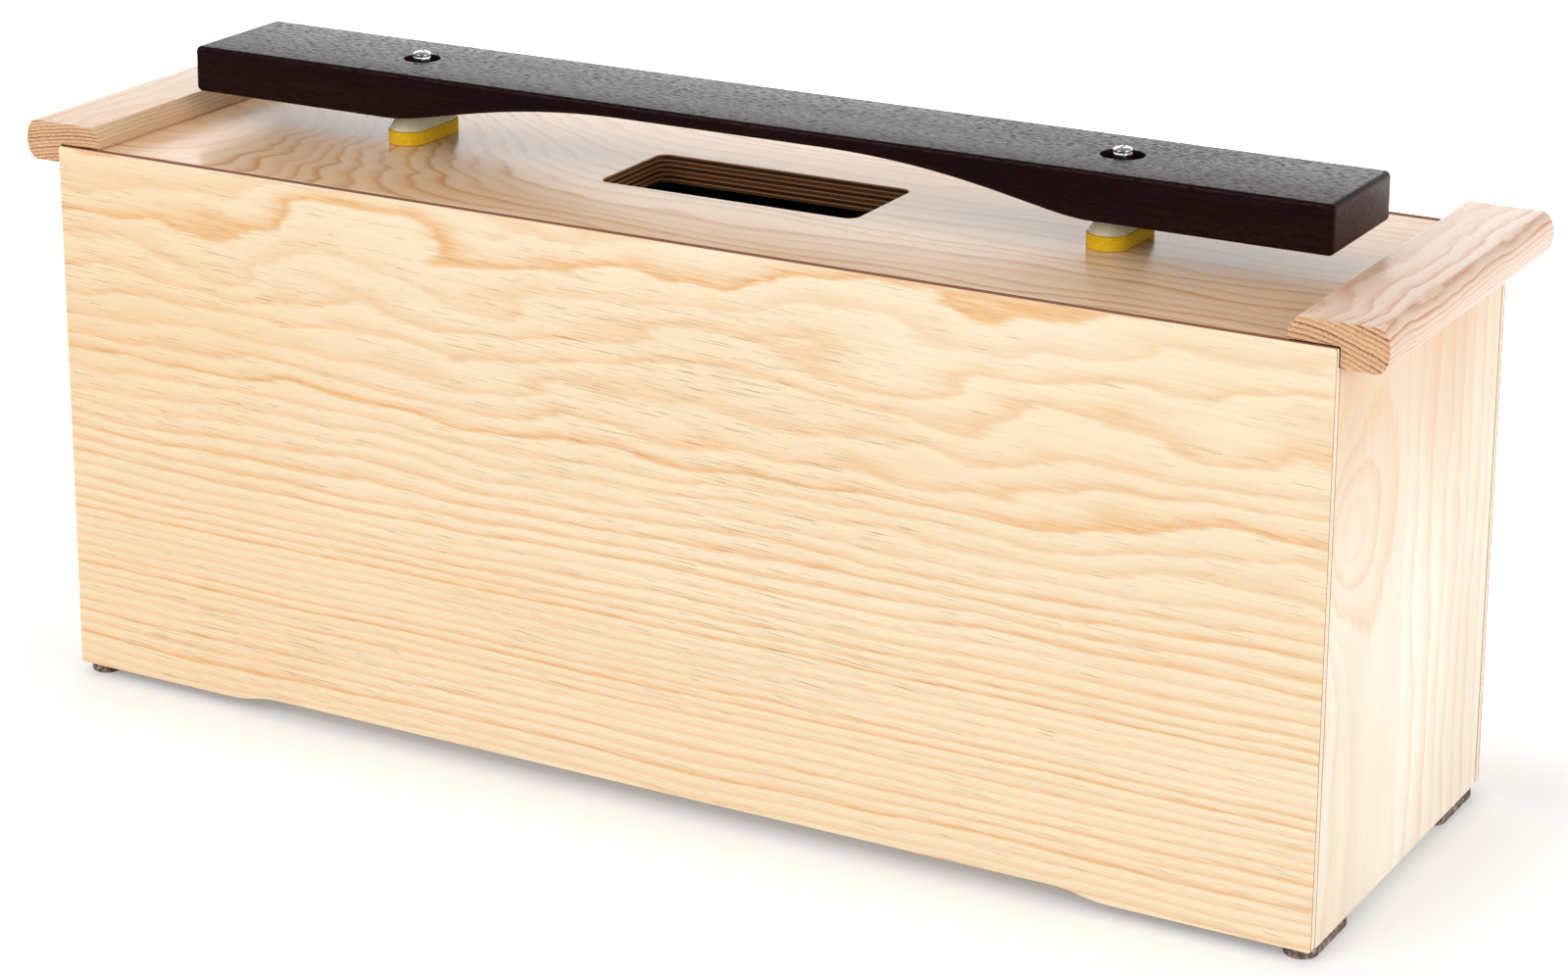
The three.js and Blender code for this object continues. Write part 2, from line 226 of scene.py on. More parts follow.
# Growth rings round a pith line along x: the distance from the line, pulled in round a knot, is counted in
# rings. Their number per metre swells and shrinks as a cosine of that distance, and slow waves move them
# where they are sparse. Each ring darkens to its late wood and stops sharply, with a fibrous edge.
def ringGroup():
    group, given, wanted = newGroup("growthRings", [
        ("Vector", "Vector", None), ("Rings", "Float", 150.0), ("Pith Depth", "Float", 0.03),
        ("Wave", "Float", 1.0), ("Wave Frequency", "Vector", (5.0, 16.0, 16.0)),
        ("Wave Detail", "Float", 3.0), ("Lean", "Float", 0.0),
        ("Swell", "Float", 0.0), ("Swell Period", "Float", 0.15), ("Swell Phase", "Float", 0.0),
        ("Knot", "Vector", (0.0, 0.0, 0.0)), ("Knot Reach", "Float", 0.05), ("Knot Pull", "Float", 0.0),
        ("Drift", "Float", 1.0), ("Ragged", "Float", 0.15), ("Softness", "Float", 2.5),
        ("Edge", "Float", 0.12), ("Fibre Turn", "Float", 0.0),
    ], ["Late"])
    sunk = put(group, "CombineXYZ", {"Z": given["Pith Depth"]}).outputs[0]
    across = vectorMaths(group, "ADD", given["Vector"], sunk)
    across = vectorMaths(group, "MULTIPLY", across, (0.0, 1.0, 1.0))
    away = measured(group, "DISTANCE", given["Vector"], given["Knot"])
    away = maths(group, "POWER", maths(group, "DIVIDE", away, given["Knot Reach"]), 2.0)
    bell = maths(group, "EXPONENT", maths(group, "MULTIPLY", away, -1.0))
    pull = maths(group, "MULTIPLY", bell, given["Knot Pull"])
    radius = maths(group, "SUBTRACT", measured(group, "LENGTH", across), pull)
    waves = maths(group, "DIVIDE", 2 * math.pi, given["Swell Period"])
    phase = maths(group, "MULTIPLY", maths(group, "SUBTRACT", radius, given["Swell Phase"]), waves)
    swell = maths(group, "MULTIPLY", maths(group, "SINE", phase), given["Swell"])
    swell = maths(group, "DIVIDE", swell, waves)
    count = maths(group, "MULTIPLY", maths(group, "ADD", radius, swell), given["Rings"])
    dense = maths(group, "MULTIPLY", maths(group, "COSINE", phase), given["Swell"])
    sparse = maths(group, "MULTIPLY_ADD", dense, ringHabit["waveInDense"], ringHabit["waveOverall"])
    slow = stretchedNoise(group, given["Vector"], given["Wave Frequency"], given["Wave Detail"])
    moved = maths(group, "MULTIPLY", maths(group, "SUBTRACT", slow, 0.5), given["Wave"])
    moved = maths(group, "MULTIPLY_ADD", axisOf(group, given["Vector"], 0), given["Lean"], moved)
    count = maths(group, "MULTIPLY_ADD", moved, sparse, count)
    drift = {"W": radius, "Scale": ringHabit["driftScale"], "Detail": 1.0}
    widths = put(group, "TexNoise", drift, noise_dimensions="1D").outputs[0]
    count = maths(group, "MULTIPLY_ADD", maths(group, "SUBTRACT", widths, 0.5), given["Drift"], count)
    fibres = turnedFlat(group, given["Vector"], given["Fibre Turn"])
    ragged = stretchedNoise(group, fibres, ringHabit["frayStretch"], 3.0, 0.6)
    count = maths(group, "MULTIPLY_ADD", maths(group, "SUBTRACT", ragged, 0.5), given["Ragged"], count)
    share = maths(group, "FRACT", count)
    number = maths(group, "FLOOR", count)
    tone = put(group, "TexWhiteNoise", {"W": number}, noise_dimensions="1D").outputs["Value"]
    ending = maths(group, "DIVIDE", maths(group, "SUBTRACT", 1.0, share), given["Edge"])
    ending = between(group, ending, 0.0, 1.0)
    late = maths(group, "MULTIPLY", maths(group, "POWER", share, given["Softness"]), ending)
    ringStrength = between(group, tone, 0.0, 1.0, *ringHabit["ringStrength"])
    frayStrength = between(group, ragged, *ringHabit["frayRange"], *ringHabit["frayStrength"])
    strength = maths(group, "MULTIPLY", ringStrength, frayStrength)
    fill(group, wanted, {"Late": maths(group, "MULTIPLY", late, strength)})
    return group


# How fibres, patches of streaks and clouds of colour stretch, and how streaks gather and begin.
fibreHabit = {
    "fibreStretch": (11.0, 900.0, 900.0),
    "patchStretch": (4.0, 14.0, 14.0),
    "cloudStretch": (3.0, 9.0, 9.0),
    "patchReach": -0.3,
    "streakEdge": 0.05,
}


# Fine fibres along x, slow clouds of colour, and thin dark streaks that gather in patches.
def fibreGroup():
    group, given, wanted = newGroup("woodFibre", [
        ("Vector", "Vector", None), ("Fibre Turn", "Float", 0.0), ("Streaks", "Float", 0.5),
        ("Streak Limit", "Float", 0.86), ("Streak Stretch", "Vector", (28.0, 2100.0, 2100.0)),
    ], ["Fibre", "Streak", "Cloud"])
    fibres = turnedFlat(group, given["Vector"], given["Fibre Turn"])
    fine = stretchedNoise(group, fibres, given["Streak Stretch"], 1.0)
    patch = stretchedNoise(group, fibres, fibreHabit["patchStretch"], 1.0)
    patch = maths(group, "MULTIPLY", patch, given["Streaks"])
    limit = maths(group, "MULTIPLY_ADD", patch, fibreHabit["patchReach"], given["Streak Limit"])
    fill(group, wanted, {
        "Fibre": stretchedNoise(group, fibres, fibreHabit["fibreStretch"], 3.0, 0.6),
        "Streak": between(group, maths(group, "SUBTRACT", fine, limit), 0.0, fibreHabit["streakEdge"]),
        "Cloud": stretchedNoise(group, fibres, fibreHabit["cloudStretch"], 2.0),
    })
    return group


# Plies of a board, counted from one face: an odd ply has its grain across, and a thin glue line parts
# neighbours.
def plyGroup():
    group, given, wanted = newGroup("plyLayers", [
        ("Depth", "Float", 0.0), ("Face Ply", "Float", 0.0012), ("Ply", "Float", 0.0026),
        ("Glue", "Float", 0.0002),
    ], ["Crossed", "Glue Line"])
    inward = maths(group, "SUBTRACT", given["Depth"], given["Face Ply"])
    inward = maths(group, "DIVIDE", inward, given["Ply"])
    odd = maths(group, "FLOORED_MODULO", maths(group, "FLOOR", inward), 2.0)
    nearest = maths(group, "ABSOLUTE", maths(group, "SUBTRACT", inward, maths(group, "ROUND", inward)))
    thin = maths(group, "DIVIDE", given["Glue"], given["Ply"])
    fill(group, wanted, {
        "Crossed": maths(group, "ABSOLUTE", maths(group, "SUBTRACT", 1.0, odd)),
        "Glue Line": maths(group, "LESS_THAN", nearest, thin),
    })
    return group


# What both felts share: how coarse their blotches and flecks are, and from where to where a fleck fades in.
feltHabit = {
    "blotchScale": 0.25, "blotchHeight": 0.5,
    "fleckScale": 0.7, "fleckFrom": 0.8, "fleckSpread": 0.4, "fleckTo": 0.75,
}


# Matted fibres of pressed felt: a fine tangle for tone and height, and flecks of another colour.
def feltGroup():
    group, given, wanted = newGroup("pressedFelt", [
        ("Vector", "Vector", None), ("Fibres", "Float", 900.0), ("Flecks", "Float", 0.5),
    ], ["Tone", "Fleck", "Height"])
    place = scaled(group, given["Vector"], given["Fibres"])
    knotted = {"Vector": place, "Scale": 1.0, "Detail": 4.0, "Roughness": 0.7, "Distortion": 2.5}
    tangle = put(group, "TexNoise", knotted).outputs[0]
    blotch = noise(group, place, 2.0, 0.6, feltHabit["blotchScale"])
    spread = maths(group, "MULTIPLY", given["Flecks"], feltHabit["fleckSpread"])
    limit = maths(group, "SUBTRACT", feltHabit["fleckFrom"], spread)
    fleck = noise(group, place, 2.0, 0.8, feltHabit["fleckScale"])
    fill(group, wanted, {
        "Tone": tangle,
        "Fleck": between(group, fleck, limit, feltHabit["fleckTo"]),
        "Height": maths(group, "MULTIPLY_ADD", blotch, feltHabit["blotchHeight"], tangle),
    })
    return group


ringsOfGrowth = ringGroup()
fibreOfWood = fibreGroup()
layersOfPly = plyGroup()
feltOfWool = feltGroup()

# What all woods share: ranges of noise that count, how squarely a face has to look along a direction, and
# how fibres, streaks and edges change relief and roughness.
woodHabit = {
    "cloudRange": (0.35, 0.65),
    "cloudWarmth": 0.4,
    "endWarmth": 0.6,
    "fibreRange": (0.3, 0.7),
    "poreScale": 1500.0,
    "poreRange": (0.36, 0.44),
    "endFacing": (0.75, 0.9),
    "edgeFacing": (0.35, 0.6),
    "squareFacing": 0.7,
    "layerTint": (0.9, 1.08),
    "stainReach": 0.4 * mm,
    "ringRelief": 0.5,
    "fibreRelief": 0.5,
    "reliefDepth": 0.1 * mm,
    "roughSpread": 0.04,
    "streakRough": 0.4,
    "edgeRough": 0.45,
}


# End grain, on what faces along the grain: ring bands dotted with open pores.
def endGrainOver(tree, place, rings, colour, ends):
    facing = maths(tree, "ABSOLUTE", measured(tree, "DOT_PRODUCT", place["Normal"], ends["axis"]))
    pores = noise(tree, place["Object"], 2.0, 0.7, woodHabit["poreScale"])
    pores = between(tree, pores, *woodHabit["poreRange"], ends["pores"], 0.0)
    cut = mixed(tree, maths(tree, "MULTIPLY", rings["Late"], ends["strength"]), ends["pale"], ends["band"])
    cut = mixed(tree, pores, cut, ends["pore"])
    return mixed(tree, between(tree, facing, *woodHabit["endFacing"]), colour, cut)


# Plies on a board's edges, as a colour and as how far the surface is an edge. The face plies show end grain
# where the edge looks along them, the crossed core where it looks across.
def plyOver(tree, place, fibre, colour, ply):
    away = vectorMaths(tree, "SUBTRACT", place["Object"], ply["face"])
    layers = useGroup(tree, layersOfPly, ply, {"Depth": measured(tree, "DOT_PRODUCT", away, ply["inward"])})
    flat = maths(tree, "ABSOLUTE", measured(tree, "DOT_PRODUCT", place["Normal"], ply["inward"]))
    edge = between(tree, flat, *woodHabit["edgeFacing"], 1.0, 0.0)
    endways = maths(tree, "ABSOLUTE", measured(tree, "DOT_PRODUCT", place["Normal"], ply["along"]))
    endways = maths(tree, "GREATER_THAN", endways, woodHabit["squareFacing"])
    dark = maths(tree, "ABSOLUTE", maths(tree, "SUBTRACT", endways, layers["Crossed"]))
    tint = between(tree, fibre["Fibre"], *woodHabit["fibreRange"], *woodHabit["layerTint"])
    layer = scaled(tree, mixed(tree, dark, ply["long"], ply["end"]), tint)
    layer = mixed(tree, layers["Glue Line"], layer, ply["glueColour"])
    return mixed(tree, edge, colour, layer), edge


# Painted shade on one face of a board, above a given height: the colour there is scaled down by the given
# strength.
def paintedShadeOver(tree, place, colour, stain):
    facing = measured(tree, "DOT_PRODUCT", place["Normal"], stain["outward"])
    away = vectorMaths(tree, "SUBTRACT", place["Object"], stain["face"])
    away = measured(tree, "DOT_PRODUCT", away, stain["outward"])
    facing = maths(tree, "GREATER_THAN", facing, woodHabit["squareFacing"])
    inside = maths(tree, "MULTIPLY", facing, maths(tree, "GREATER_THAN", away, -woodHabit["stainReach"]))
    above = maths(tree, "GREATER_THAN", axisOf(tree, place["Object"], 2), stain["above"])
    inside = maths(tree, "MULTIPLY", inside, above)
    return mixed(tree, inside, colour, scaled(tree, colour, stain["strength"]))


# Wood. The directions along, across and through the board come onto x, y and z by a turn and a start.
def woodMaterial(name, look):
    material, tree, shader, place = newMaterial(name)
    board = {"Vector": place["Object"], "Location": look["start"], "Rotation": look["turn"]}
    board = put(tree, "Mapping", board).outputs[0]
    rings = useGroup(tree, ringsOfGrowth, look, {"Vector": board})
    fibre = useGroup(tree, fibreOfWood, look, {"Vector": board})
    warmth = between(tree, fibre["Cloud"], *woodHabit["cloudRange"])
    # Towards one end of the board the colour goes darker and warmer. On the end panels this is painted shade
    # at the top, under the handles.
    if "warmEnd" in look:
        ending = between(tree, axisOf(tree, board, 0), *look["warmEnd"], woodHabit["endWarmth"], 0.0)
        warmth = maths(tree, "MULTIPLY_ADD", warmth, woodHabit["cloudWarmth"], ending)
    colour = mixed(tree, warmth, look["pale"], look["warm"])
    colour = mixed(tree, maths(tree, "MULTIPLY", rings["Late"], look["bandStrength"]), colour, look["band"])
    depth = look["fibreDepth"]
    tint = between(tree, fibre["Fibre"], *woodHabit["fibreRange"], 1.0 - depth, 1.0 + depth)
    streak = maths(tree, "MULTIPLY", fibre["Streak"], look["streakStrength"])
    colour = mixed(tree, streak, scaled(tree, colour, tint), look["streak"])
    low, high = look["rough"] - woodHabit["roughSpread"], look["rough"] + woodHabit["roughSpread"]
    rough = between(tree, fibre["Fibre"], *woodHabit["fibreRange"], low, high)
    rough = maths(tree, "MULTIPLY_ADD", fibre["Streak"], woodHabit["streakRough"], rough)
    if "endGrain" in look:
        colour = endGrainOver(tree, place, rings, colour, look["endGrain"])
    if "ply" in look:
        colour, edge = plyOver(tree, place, fibre, colour, look["ply"])
        rough = maths(tree, "MULTIPLY_ADD", edge, woodHabit["edgeRough"], rough)
    # Painted shade on the inner face, where the look asks for it.
    if "stain" in look:
        colour = paintedShadeOver(tree, place, colour, look["stain"])
    fill(tree, shader, {
        "Base Color": colour, "Roughness": rough,
        "Specular IOR Level": look["specular"], "Specular Tint": look["specularTint"],
    })
    relief = maths(tree, "MULTIPLY", fibre["Fibre"], woodHabit["fibreRelief"])
    relief = maths(tree, "MULTIPLY_ADD", rings["Late"], woodHabit["ringRelief"], relief)
    relief = maths(tree, "SUBTRACT", relief, fibre["Streak"])
    addBump(tree, shader, relief, look["bump"], woodHabit["reliefDepth"])
    return material


pine = {
    "rings": 125.0, "pithDepth": 0.0, "drift": 1.5, "lean": 0.0,
    "wave": 2.8, "waveFrequency": (7.0, 26.0, 26.0), "waveDetail": 3.0,
    "swell": 0.0, "swellPeriod": 0.2, "swellPhase": 0.0,
    "knot": (0.0, 0.0, 0.0), "knotReach": 0.05, "knotPull": 0.0,
    "ragged": 0.5, "softness": 1.9, "edge": 0.2, "fibreTurn": 0.05, "fibreDepth": 0.03,
    "pale": "#FFEFD2", "warm": "#FCE0B8", "band": "#F0B26C", "bandStrength": 1.0,
    "streaks": 1.0, "streakLimit": 0.85, "streakStretch": (50.0, 2000.0, 2000.0),
    "streak": "#946638", "streakStrength": 0.55,
    "bump": 0.25, "rough": 0.42, "specular": 0.25, "specularTint": "#FFFFFF",
}
frontLo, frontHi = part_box("front_panel")
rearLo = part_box("rear_panel")[0]
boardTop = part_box("top_board")[1][2]
panelPly = {
    "inward": (0.0, 1.0, 0.0), "along": (1.0, 0.0, 0.0),
    "facePly": 0.6 * mm, "ply": 3.8 * mm, "glue": 0.12 * mm,
    "long": "#FBE8CC", "end": "#9A6248", "glueColour": "#A07858",
}
# Painted shade: the inner faces of the front and rear panels are darkened to near black, for the dark inside
# of the box.
insidePaintedShade = {"strength": 0.04, "above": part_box("bottom_board")[0][2]}
frontWood = woodMaterial("front pine ply", {
    **pine, "start": (0.02, -0.33, 0.0), "turn": (-quarter, 0.0, 0.0),
    "ply": {**panelPly, "face": tuple(frontLo)},
    "swell": 0.44, "swellPeriod": 0.29, "swellPhase": 0.285, "lean": 2.0, "warmEnd": (-0.3, 0.2),
    "rings": 150.0, "wave": 3.4, "waveFrequency": (9.0, 26.0, 26.0), "waveDetail": 2.6, "softness": 2.1,
    "streakLimit": 0.83, "streakStretch": (46.0, 2600.0, 2600.0), "bandStrength": 1.12,
    "stain": {**insidePaintedShade, "face": tuple(frontHi), "outward": (0.0, 1.0, 0.0)},
})
rearWood = woodMaterial("rear pine ply", {
    **pine, "start": (0.9, -0.31, 0.3), "turn": (-quarter, 0.0, 0.0),
    "ply": {**panelPly, "face": tuple(rearLo)},
    "swell": 0.3, "swellPeriod": 0.17, "swellPhase": 0.2,
    "stain": {**insidePaintedShade, "face": tuple(rearLo), "outward": (0.0, -1.0, 0.0)},
})
bottomWood = woodMaterial("bottom pine ply", {**pine, "start": (0.4, 0.05, 0.7), "turn": (0.0, 0.0, 0.0)})
topWood = woodMaterial("top pine ply", {
    **pine, "start": (0.3, 0.2, -0.2658), "turn": (0.0, 0.0, 0.0), "fibreTurn": 0.02,
    "rings": 95.0, "pithDepth": 0.03, "wave": 3.5, "waveFrequency": (10.0, 34.0, 34.0), "waveDetail": 1.6,
    "softness": 3.2, "edge": 0.25, "bandStrength": 1.6, "ragged": 0.15, "streaks": 0.3,
    "knot": (0.0, 0.22, 0.0), "knotReach": 0.13, "knotPull": 0.22,
    "pale": "#F4D3B2", "warm": "#EFC49A", "band": "#CC8A3C", "rough": 0.22, "specular": 0.24, "bump": 0.15,
    "ply": {
        "inward": (0.0, 0.0, -1.0), "along": (1.0, 0.0, 0.0), "face": (0.0, 0.0, boardTop),
        "facePly": 0.4 * mm, "ply": 2.3 * mm, "glue": 0.34 * mm,
        "long": "#724628", "end": "#4C2A16", "glueColour": "#C48E5C",
    },
})
# The end panels go darker and warmer towards their top: painted shade under the handles.
endLook = {
    **pine, "turn": (0.0, quarter, 0.0), "fibreTurn": 0.0,
    "rings": 85.0, "pithDepth": 0.07, "wave": 2.5, "waveFrequency": (8.0, 22.0, 22.0), "streaks": 0.0,
    "pale": "#FFF8E8", "warm": "#E2C09A", "band": "#E6AC70", "bandStrength": 0.44,
    "rough": 0.45, "specular": 0.2, "softness": 2.0, "edge": 0.14, "warmEnd": (0.38, 0.2),
}
rightEndWood = woodMaterial("right end pine", {
    **endLook, "start": (0.1, 0.04, 0.3),
    "knot": (0.282, -0.042, -0.02), "knotReach": 0.036, "knotPull": 0.05,
})
leftEndWood = woodMaterial("left end pine", {**endLook, "start": (0.1, 0.08, -0.32)})
handleLook = {
    **pine, "turn": (0.0, 0.0, -quarter), "fibreTurn": 0.0, "streaks": 0.0,
    "rings": 440.0, "wave": 4.5, "waveFrequency": (14.0, 18.0, 18.0), "edge": 0.16, "softness": 2.4,
    "pale": "#E8CDB6", "warm": "#E4C2A4", "band": "#C07030", "bandStrength": 1.2,
    "rough": 0.3, "specular": 0.28,
    "endGrain": {
        "axis": (0.0, 1.0, 0.0), "pale": "#F0C498", "band": "#8E3616", "strength": 1.5,
        "pore": "#8A5030", "pores": 0.45,
    },
}
rightHandleWood = woodMaterial("right handle pine", {**handleLook, "start": (0.0, 0.29, -0.158)})
leftHandleWood = woodMaterial("left handle pine", {
    **handleLook, "start": (0.5, -0.3, -0.12), "rings": 620.0, "wave": 4.0, "bandStrength": 0.75,
    "pale": "#E8C8A6", "warm": "#DEB488", "band": "#B87632",
})
innerWood = woodMaterial("planed pine", {
    **pine, "start": (0.2, 0.3, 0.1), "turn": (0.0, 0.0, 0.0), "streaks": 0.3,
    "pale": "#8A6A48", "warm": "#7C5C3C", "band": "#5E4028", "rough": 0.7,
})
dowelWood = woodMaterial("turned beech", {
    **pine, "start": (0.1, 0.2, 0.1), "turn": (0.0, quarter, 0.0), "rings": 700.0, "streaks": 0.5,
    "pale": "#E2C69C", "warm": "#DABC90", "band": "#C8A274", "rough": 0.6,
})
toneWood = woodMaterial("dark tone wood", {
    **pine, "start": (0.0, 0.06, -0.2), "turn": (0.0, 0.0, 0.0), "fibreTurn": 0.03,
    "rings": 700.0, "pithDepth": 0.02, "wave": 3.0, "drift": 2.0, "ragged": 1.4, "softness": 1.5,
    "pale": "#26100D", "warm": "#1E0A09", "band": "#0E0504", "bandStrength": 0.7, "fibreDepth": 0.2,
    "streaks": 0.4, "streakLimit": 0.6, "streakStretch": (260.0, 2600.0, 2600.0),
    "streak": "#080404", "streakStrength": 0.9,
    "bump": 0.5, "rough": 0.27, "specular": 0.112, "specularTint": "#F6E0F2",
    "endGrain": {
        "axis": (1.0, 0.0, 0.0), "pale": "#301509", "band": "#2A1208", "strength": 1.0,
        "pore": "#180C09", "pores": 0.2,
    },
})

chromeLook = {
    "bright": "#E4E6E8", "handled": "#D6D9DC",
    "handlingScale": 260.0, "handlingRange": (0.35, 0.7), "rough": (0.07, 0.16),
    "polishScale": 900.0, "bump": 0.08, "polishDepth": 0.05 * mm,
}


def chromeMaterial(name, look):
    material, tree, shader, place = newMaterial(name)
    handling = noise(tree, place["Object"], 3.0, 0.6, look["handlingScale"])
    fill(tree, shader, {
        "Base Color": mixed(tree, handling, look["bright"], look["handled"]),
        "Roughness": between(tree, handling, *look["handlingRange"], *look["rough"]),
        "Metallic": 1.0,
    })
    polish = noise(tree, place["Object"], 2.0, 0.5, look["polishScale"])
    addBump(tree, shader, polish, look["bump"], look["polishDepth"])
    return material


felt = {"toneRange": (0.3, 0.7), "bump": 0.8, "rough": 0.95, "specular": 0.15, "sheen": 0.1}


def feltMaterial(name, look):
    material, tree, shader, place = newMaterial(name)
    wool = useGroup(tree, feltOfWool, look, {"Vector": place["Object"]})
    colour = mixed(tree, between(tree, wool["Tone"], *look["toneRange"]), look["deep"], look["light"])
    fill(tree, shader, {
        "Base Color": mixed(tree, wool["Fleck"], colour, look["fleck"]), "Roughness": look["rough"],
        "Specular IOR Level": look["specular"], "Sheen Weight": look["sheen"],
    })
    addBump(tree, shader, wool["Height"], look["bump"], look["nap"])
    return material


rubberLook = {
    "light": "#F6EACB", "dull": "#ECDDB8", "cloudScale": 220.0, "grainScale": 2600.0,
    "noiseRange": (0.3, 0.7), "rough": (0.48, 0.6), "specular": 0.35, "bump": 0.25, "grainDepth": 0.05 * mm,
}


def rubberMaterial(name, look):
    material, tree, shader, place = newMaterial(name)
    cloud = noise(tree, place["Object"], 3.0, 0.5, look["cloudScale"])
    grain = noise(tree, place["Object"], 2.0, 0.6, look["grainScale"])
    fill(tree, shader, {
        "Base Color": mixed(tree, between(tree, cloud, *look["noiseRange"]), look["light"], look["dull"]),
        "Roughness": between(tree, grain, *look["noiseRange"], *look["rough"]),
        "Specular IOR Level": look["specular"],
    })
    addBump(tree, shader, grain, look["bump"], look["grainDepth"])
    return material


chrome = chromeMaterial("polished chrome", chromeLook)
padFelt = feltMaterial("yellow felt", {
    **felt, "fibres": 800.0, "flecks": 0.35, "deep": "#EAA406", "light": "#FFE22C", "fleck": "#FFF080",
    "nap": 0.4 * mm,
})
footFelt = feltMaterial("grey felt", {
    **felt, "fibres": 520.0, "flecks": 1.0, "deep": "#2A1812", "light": "#7E685E", "fleck": "#C4B0A8",
    "nap": 0.5 * mm,
})
restRubber = rubberMaterial("cream rubber", rubberLook)
print("materials ready")


# Points of an elliptic arc, its angles in degrees.
def arc(x, y, radiusX, radiusY, start, end, steps):
    angle = np.radians(np.linspace(start, end, steps + 1))
    return np.column_stack((x + radiusX * np.cos(angle), y + radiusY * np.sin(angle)))


# Points of a cubic curve between two level stretches: it leaves each end level for its pull.
def levelRamp(x0, y0, pull0, x1, y1, pull1, steps):
    t = np.linspace(0, 1, steps + 1)[:, None]
    corners = np.array(((x0, y0), (x0 + pull0, y0), (x1 - pull1, y1), (x1, y1)))
    weights = np.hstack(((1 - t) ** 3, 3 * t * (1 - t) ** 2, 3 * t ** 2 * (1 - t), t ** 3))
    return weights @ corners


# Rectangle with round corners, anticlockwise from the bottom right.
def roundRectangle(left, bottom, right, top, radius, steps=8):
    turns = ((right - radius, bottom + radius, -90), (right - radius, top - radius, 0),
             (left + radius, top - radius, 90), (left + radius, bottom + radius, 180))
    return np.vstack([arc(x, y, radius, radius, start, start + 90, steps) for x, y, start in turns])


# Two half circles joined by straight sides, its long axis on y. The sides are never quite zero long.
def stadium(width, length, steps=28):
    radius = width / 2
    reach = max(length / 2 - radius, 1e-6)
    back = arc(0, reach, radius, radius, 0, 180, steps)
    front = arc(0, -reach, radius, radius, 180, 360, steps)
    return np.vstack((back, front))


# Each corner that turns by more than 20 degrees becomes a short curve between its two edges: a parabola
# through points at one radius before and after the corner.
def softCorners(outline, radius, steps=5):
    before, after = np.roll(outline, 1, 0) - outline, np.roll(outline, -1, 0) - outline
    before /= np.linalg.norm(before, axis=1)[:, None]
    after /= np.linalg.norm(after, axis=1)[:, None]
    sharp = np.einsum("ij,ij->i", before, after) > math.cos(math.radians(160))
    t = np.linspace(0, 1, steps + 1)[:, None]
    curves = outline[:, None] + radius * ((1 - t) ** 2 * before[:, None] + t ** 2 * after[:, None])
    curves[~sharp, 0] = outline[~sharp]
    kept = np.repeat(sharp[:, None], steps + 1, 1)
    kept[:, 0] = True
    return curves[kept]


# Each long edge gets a point close to either end, which keeps the shading of the flat between them even.
def heldEdges(outline, near=0.6):
    edge = np.roll(outline, -1, 0) - outline
    length = np.linalg.norm(edge, axis=1)[:, None]
    inward = near * edge / np.maximum(length, 1e-9)
    points = np.stack((outline, outline + inward, np.roll(outline, -1, 0) - inward), 1)
    long = length > 4 * near
    return points[np.hstack((np.full(len(outline), True)[:, None], long, long))]


# Moves a closed anticlockwise outline inward: each point goes along the sum of its two edge normals, over
# one plus their dot product.
def drawnIn(outline, amount):
    edge = np.roll(outline, -1, 0) - outline
    normal = np.column_stack((-edge[:, 1], edge[:, 0])) / np.linalg.norm(edge, axis=1)[:, None]
    previous = np.roll(normal, 1, 0)
    share = 1 + np.einsum("ij,ij->i", normal, previous)
    return outline + amount * (normal + previous) / share[:, None]


# Rows of points (x, y, depth): one copy of the outline for each pair of inset and depth.
def stacked(outline, insets, depths):
    return np.stack([np.column_stack((drawnIn(outline, inset), np.full(len(outline), depth)))
                     for inset, depth in zip(insets, depths)])


# How both edges of a board are eased: pairs of inset and depth along a quarter circle, after a narrow flat
# rim on the face.
def easedLayers(thickness, shape, steps=4):
    ease = shape["ease"]
    angle = np.linspace(0, quarter, steps + 1)
    inset = np.append(ease + shape["rim"], ease * (1 - np.sin(angle)))
    depth = np.append(0.0, ease * (1 - np.cos(angle)))
    return np.append(inset, inset[::-1]), np.append(depth, thickness - depth[::-1])


# A board: its outline is carried through the thickness and drawn in at both faces.
def carried(outline, thickness, shape):
    return stacked(outline, *easedLayers(thickness, shape))


# A board round a hole: the hole's wall, one face, the outer edge and the other face follow each other.
def carriedRing(hole, outline, thickness, shape):
    insets, depths = easedLayers(thickness, shape)
    return np.concatenate((stacked(hole, -insets, depths), stacked(outline, insets[::-1], depths[::-1])))


# A turned body: each profile point (radius, height) goes once round the z axis.
def turned(profile, sides):
    angle = np.linspace(0, 2 * math.pi, sides, endpoint=False)
    radius, height = np.array(profile, float).T[:, :, None]
    return np.stack(np.broadcast_arrays(radius * np.cos(angle), radius * np.sin(angle), height), -1)


# A mesh over rows of points, each row closed on itself: quads between neighbours, and the ends capped or
# joined.
def meshOf(name, rows, joined=False):
    count, around = rows.shape[:2]
    index = np.arange(count * around).reshape(count, around)
    here = index if joined else index[:-1]
    there = np.roll(index, -1, 0)[:len(here)]
    quads = np.stack((here, np.roll(here, -1, 1), np.roll(there, -1, 1), there), -1).reshape(-1, 4)
    caps = [] if joined else [index[0][::-1].tolist(), index[-1].tolist()]
    mesh = bpy.data.meshes.new(name)
    mesh.from_pydata((rows.reshape(-1, 3) * mm).tolist(), [], quads.tolist() + caps)
    return mesh


# Turns the faces of a mesh outward, after points closer than the merging distance have become one.
def facedOutward(mesh, merging=0.0):
    work = bmesh.new()
    work.from_mesh(mesh)
    if merging:
        bmesh.ops.remove_doubles(work, verts=work.verts, dist=merging)
    bmesh.ops.recalc_face_normals(work, faces=work.faces)
    work.to_mesh(mesh)
    work.free()


finish = {"merging": 0.002 * mm, "sharpAngle": 35.0}


